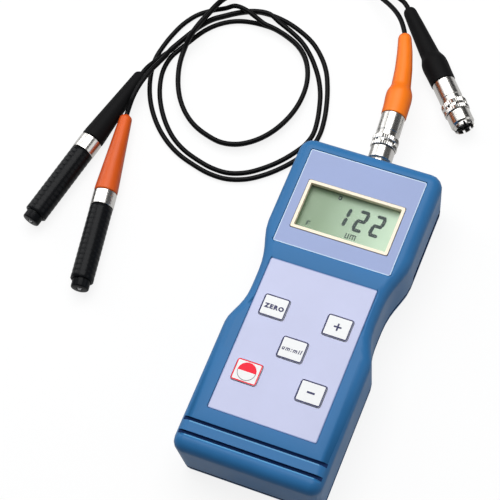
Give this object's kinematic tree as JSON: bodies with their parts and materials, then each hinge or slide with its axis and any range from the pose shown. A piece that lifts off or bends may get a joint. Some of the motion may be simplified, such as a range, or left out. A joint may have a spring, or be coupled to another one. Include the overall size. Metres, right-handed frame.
{
  "type": "coating thickness gauge",
  "caption": "Hand-held coating thickness meter with display and keys, and two sprung probes on thin cables with push-pull plugs.",
  "frame": {"origin": "middle of the meter's flat back face, which lies on the table", "axes": "+Y along the meter towards its socket end, +Z out of the display side, +X to the right seen from the display side"},
  "size_m": [0.1868, 0.2723, 0.0323],
  "materials": {
    "blue_shell": "satin moulded shell",
    "display_label": "printed overlay",
    "keypad_label": "printed overlay",
    "cream_bezel": "smooth moulded frame",
    "clear_window": "clear polished sheet",
    "lcd_glass": "reflective LCD",
    "grey_plastic": "moulded",
    "contact_rubber": "elastomer strip",
    "board_laminate": "solder-masked laminate",
    "white_key": "printed caps",
    "steel": "zinc plated",
    "hard_steel": "polished hard metal",
    "battery_case": null,
    "chromed_metal": "bright chrome",
    "black_plastic": "smooth moulded",
    "black_grip": "satin ribbed grip",
    "black_rubber": "moulded rubber",
    "orange_rubber": "moulded rubber",
    "rust_rubber": "moulded rubber",
    "cable_jacket": "smooth jacket"
  },
  "bodies": {
    "meter": {"front_cover": "blue_shell", "rear_cover": "blue_shell", "display_label": "display_label", "keypad_label": "keypad_label", "display_bezel": "cream_bezel", "display_window": "clear_window", "lcd_panel": "lcd_glass", "lcd_holder": "grey_plastic", "contact_strip_1": "contact_rubber", "contact_strip_2": "contact_rubber", "circuit_board": "board_laminate", "probe_socket": "chromed_metal", "socket_nut": "chromed_metal", "socket_insert": "black_plastic", "board_screw_1": "steel", "case_screw_1": "steel", "battery_1": "battery_case", "board_screw_2": "steel", "case_screw_2": "steel", "battery_2": "battery_case", "board_screw_3": "steel", "case_screw_3": "steel", "battery_3": "battery_case", "board_screw_4": "steel", "case_screw_4": "steel", "battery_4": "battery_case", "battery_contact_1": "steel", "battery_contact_2": "steel", "battery_contact_3": "steel", "battery_contact_4": "steel", "battery_contact_5": "steel", "plug_shell_orange": "chromed_metal", "plug_insert_orange": "black_plastic", "plug_boot_orange": "orange_rubber", "cable_orange": "cable_jacket", "probe_boot_orange": "rust_rubber", "probe_band_orange": "chromed_metal", "probe_grip_orange": "black_grip", "probe_spring_orange": "steel", "plug_shell_black": "chromed_metal", "plug_insert_black": "black_plastic", "plug_boot_black": "black_rubber", "cable_black": "cable_jacket", "probe_boot_black": "black_rubber", "probe_band_black": "chromed_metal", "probe_grip_black": "black_grip", "probe_spring_black": "steel"},
    "key_zero": {"key_zero": "white_key"},
    "key_plus": {"key_plus": "white_key"},
    "key_unit": {"key_unit": "white_key"},
    "key_power": {"key_power": "white_key"},
    "key_minus": {"key_minus": "white_key"},
    "battery_cover": {"battery_cover": "blue_shell"},
    "ring_orange": {"plug_ring_orange": "chromed_metal"},
    "ring_black": {"plug_ring_black": "chromed_metal"},
    "head_orange": {"probe_head_orange": "black_plastic", "probe_tip_orange": "hard_steel"},
    "head_black": {"probe_head_black": "black_plastic", "probe_tip_black": "hard_steel"}
  },
  "joints": [
    {"name": "zero_press", "type": "slide", "parent": "meter", "child": "key_zero", "axis": [0, 0, -1], "range_m": [0, 0.0006], "stiffness_N_per_m": 500},
    {"name": "plus_press", "type": "slide", "parent": "meter", "child": "key_plus", "axis": [0, 0, -1], "range_m": [0, 0.0006], "stiffness_N_per_m": 500},
    {"name": "unit_press", "type": "slide", "parent": "meter", "child": "key_unit", "axis": [0, 0, -1], "range_m": [0, 0.0006], "stiffness_N_per_m": 500},
    {"name": "power_press", "type": "slide", "parent": "meter", "child": "key_power", "axis": [0, 0, -1], "range_m": [0, 0.0006], "stiffness_N_per_m": 500},
    {"name": "minus_press", "type": "slide", "parent": "meter", "child": "key_minus", "axis": [0, 0, -1], "range_m": [0, 0.0006], "stiffness_N_per_m": 500},
    {"name": "battery_cover_slide", "type": "slide", "parent": "meter", "child": "battery_cover", "axis": [0, -1, 0], "range_m": [0, 0.05]},
    {"name": "orange_ring_slide", "type": "slide", "parent": "meter", "child": "ring_orange", "axis": [-0.0785, 0.9969, 0], "range_m": [0, 0.0016], "stiffness_N_per_m": 500},
    {"name": "black_ring_slide", "type": "slide", "parent": "meter", "child": "ring_black", "axis": [-0.66, 0.7513, 0], "range_m": [0, 0.0016], "stiffness_N_per_m": 500},
    {"name": "orange_head_press", "type": "slide", "parent": "meter", "child": "head_orange", "axis": [-0.1711, 0.9853, 0], "range_m": [0, 0.002], "stiffness_N_per_m": 400, "deforming": ["probe_spring_orange"]},
    {"name": "black_head_press", "type": "slide", "parent": "meter", "child": "head_black", "axis": [0.2011, 0.9796, 0], "range_m": [0, 0.002], "stiffness_N_per_m": 400, "deforming": ["probe_spring_black"]}
  ]
}
